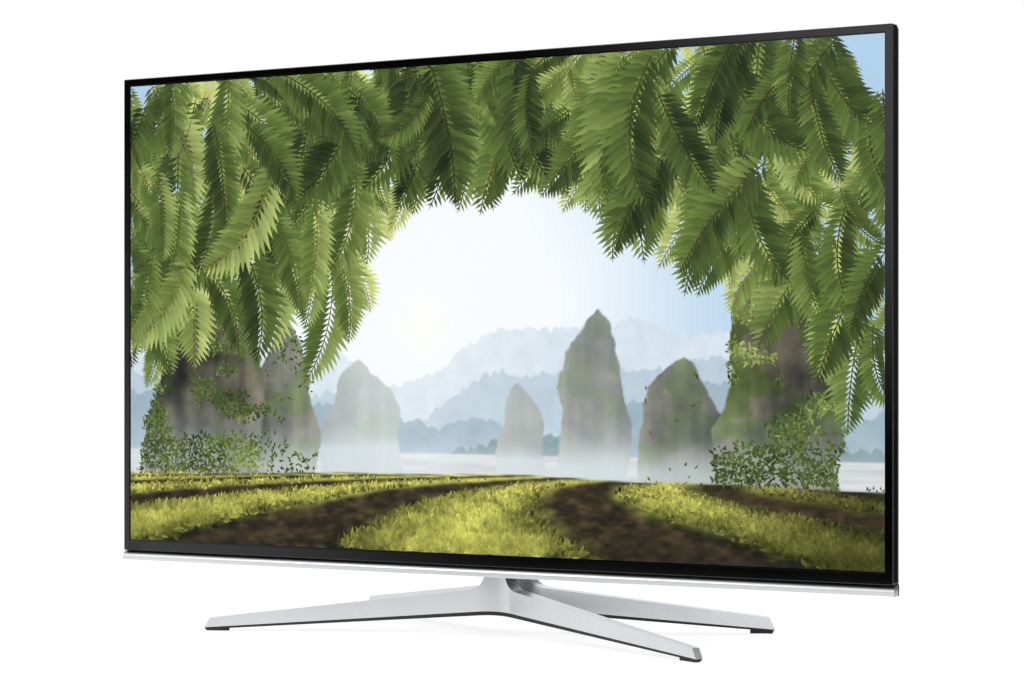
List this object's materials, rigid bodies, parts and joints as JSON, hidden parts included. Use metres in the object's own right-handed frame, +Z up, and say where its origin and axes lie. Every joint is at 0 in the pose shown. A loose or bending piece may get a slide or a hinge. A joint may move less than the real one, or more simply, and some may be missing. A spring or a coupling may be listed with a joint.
{
  "type": "flat screen television",
  "caption": "Slim flat screen television with a glossy black bezel and a silver bottom moulding on a fixed silver four-legged stand.",
  "frame": {"origin": "on the floor under the middle of the stand's footprint, which is the bottom centre of the bounding box", "axes": "+X to the right as seen from the front, +Y to the back, +Z up; the screen faces -Y"},
  "size_m": [1.077, 0.31, 0.7039],
  "materials": {
    "bezel_black": "high gloss black lacquer",
    "window_black": "dark infrared-clear plastic",
    "screen_film": "dark glossy polarising film",
    "glass_clear": "clear float glass",
    "film_white": "milky optical film",
    "guide_clear": "clear acrylic",
    "reflector_white": "white foil",
    "moulding_silver": "bright satin silver",
    "leg_silver": "satin silver lacquer on a die casting",
    "underside_black": "fine grained black",
    "pad_rubber": "soft black rubber",
    "frame_black": "matt black",
    "cover_black": "fine grained black",
    "tray_steel": "zinc coated sheet steel",
    "spreader_alu": "bare extruded aluminium",
    "strip_white": "white coated metal core strip",
    "board_green": "green solder mask with black parts",
    "flex_brown": "amber flexible film",
    "ribbon_white": "white flat cable",
    "wire_black": "black insulated wire",
    "wire_grey": "grey insulated wire",
    "socket_steel": "nickel plated shell",
    "socket_black": "black moulded plastic",
    "pin_brass": "plated brass",
    "sink_alu": "bare extruded aluminium",
    "can_steel": "tinned steel can",
    "winding_amber": "ferrite with yellow tape",
    "capacitor_sleeve": "dark shrink sleeve",
    "speaker_black": "moulded box",
    "driver_paper": "pressed paper cone on a steel basket",
    "stand_steel": "black coated steel",
    "screw_steel": "black oxide steel",
    "controller_plastic": "moulded dark plastic"
  },
  "bodies": {
    "set": {"front_bezel": "bezel_black", "sensor_window": "window_black", "bottom_trim": "moulding_silver", "front_polariser": "screen_film", "lcd_glass": "glass_clear", "prism_film": "film_white", "diffuser_film": "film_white", "light_guide": "guide_clear", "reflector_sheet": "reflector_white", "mid_frame": "frame_black", "panel_flex_films": "flex_brown", "source_boards": "board_green", "led_strips": "strip_white", "heat_spreaders": "spreader_alu", "rear_chassis": "tray_steel", "card_slot": "socket_steel", "usb_sockets": "socket_steel", "hdmi_sockets": "socket_steel", "network_socket": "socket_black", "audio_jacks": "socket_black", "antenna_jack": "can_steel", "power_inlet": "socket_black", "inlet_pins": "pin_brass", "rear_cover": "cover_black", "rear_cover_screws": "screw_steel", "wall_mount_columns": "tray_steel", "front_leg_arch": "leg_silver", "rear_leg_arch": "leg_silver", "front_leg_underside": "underside_black", "rear_leg_underside": "underside_black", "rubber_pads": "pad_rubber", "neck_core": "stand_steel", "stand_bracket": "tray_steel", "stand_screws": "screw_steel", "main_board": "board_green", "power_board": "board_green", "timing_board": "board_green", "board_screws": "screw_steel", "processor_heat_sink": "sink_alu", "tuner_module": "can_steel", "power_transformers": "winding_amber", "power_capacitors": "capacitor_sleeve", "power_heat_sinks": "sink_alu", "ribbon_cables": "ribbon_white", "board_power_cable": "wire_grey", "mains_wires": "wire_black", "backlight_leads": "wire_grey", "speaker_boxes": "speaker_black", "speaker_drivers": "driver_paper", "speaker_leads": "wire_black", "sensor_board": "board_green", "wireless_module": "can_steel", "signal_leads": "wire_black", "controller_board": "board_green", "controller_housing": "controller_plastic"},
    "gimbal": {"controller_gimbal": "controller_plastic"},
    "rocker": {"controller_rocker": "controller_plastic"},
    "plunger": {"controller_stem": "controller_plastic", "controller_knob": "controller_plastic"}
  },
  "joints": [
    {"name": "knob_tilt_up_down", "type": "hinge", "parent": "set", "child": "gimbal", "pos_m": [-0.34, -0.0035, 0.132], "axis": [1, 0, 0], "range_deg": [-5, 5], "stiffness_Nm_per_rad": 0.3},
    {"name": "knob_tilt_left_right", "type": "hinge", "parent": "gimbal", "child": "rocker", "pos_m": [-0.34, -0.0035, 0.132], "axis": [0, 0, 1], "range_deg": [-5, 5], "stiffness_Nm_per_rad": 0.3},
    {"name": "knob_press", "type": "slide", "parent": "rocker", "child": "plunger", "axis": [0, -1, 0], "range_m": [0, 0.0008], "stiffness_N_per_m": 1500}
  ]
}
